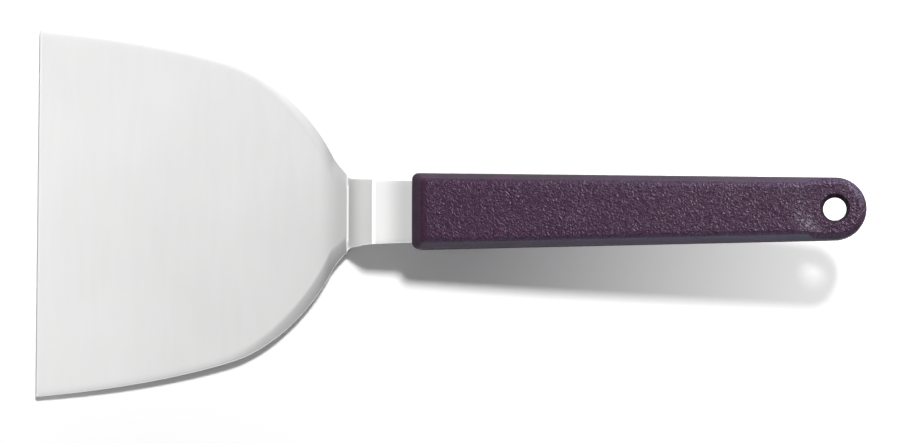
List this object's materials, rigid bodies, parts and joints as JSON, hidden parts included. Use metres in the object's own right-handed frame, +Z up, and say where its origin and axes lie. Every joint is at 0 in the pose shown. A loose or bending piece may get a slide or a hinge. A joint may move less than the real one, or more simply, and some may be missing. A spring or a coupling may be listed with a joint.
{
  "type": "griddle spatula",
  "caption": "Wide flat stainless blade with drawn-in shoulders on an offset neck, with a grained purple plastic handle moulded over its tang and a dished hang hole.",
  "frame": {"origin": "middle of the tool's bounding box, on the plane that the blade lies on", "axes": "+X from the blade's front edge to the end of the handle, +Y to the left seen from the front edge, +Z up from the blade's underside"},
  "size_m": [0.2672, 0.1204, 0.0352],
  "materials": {
    "satin_steel": "fine satin grind across the blade, bright cut edges",
    "grained_plastic": "dark purple moulded plastic with a fine leather grain and smooth chamfers"
  },
  "bodies": {
    "root": {"blade": "satin_steel", "handle": "grained_plastic"}
  },
  "joints": []
}
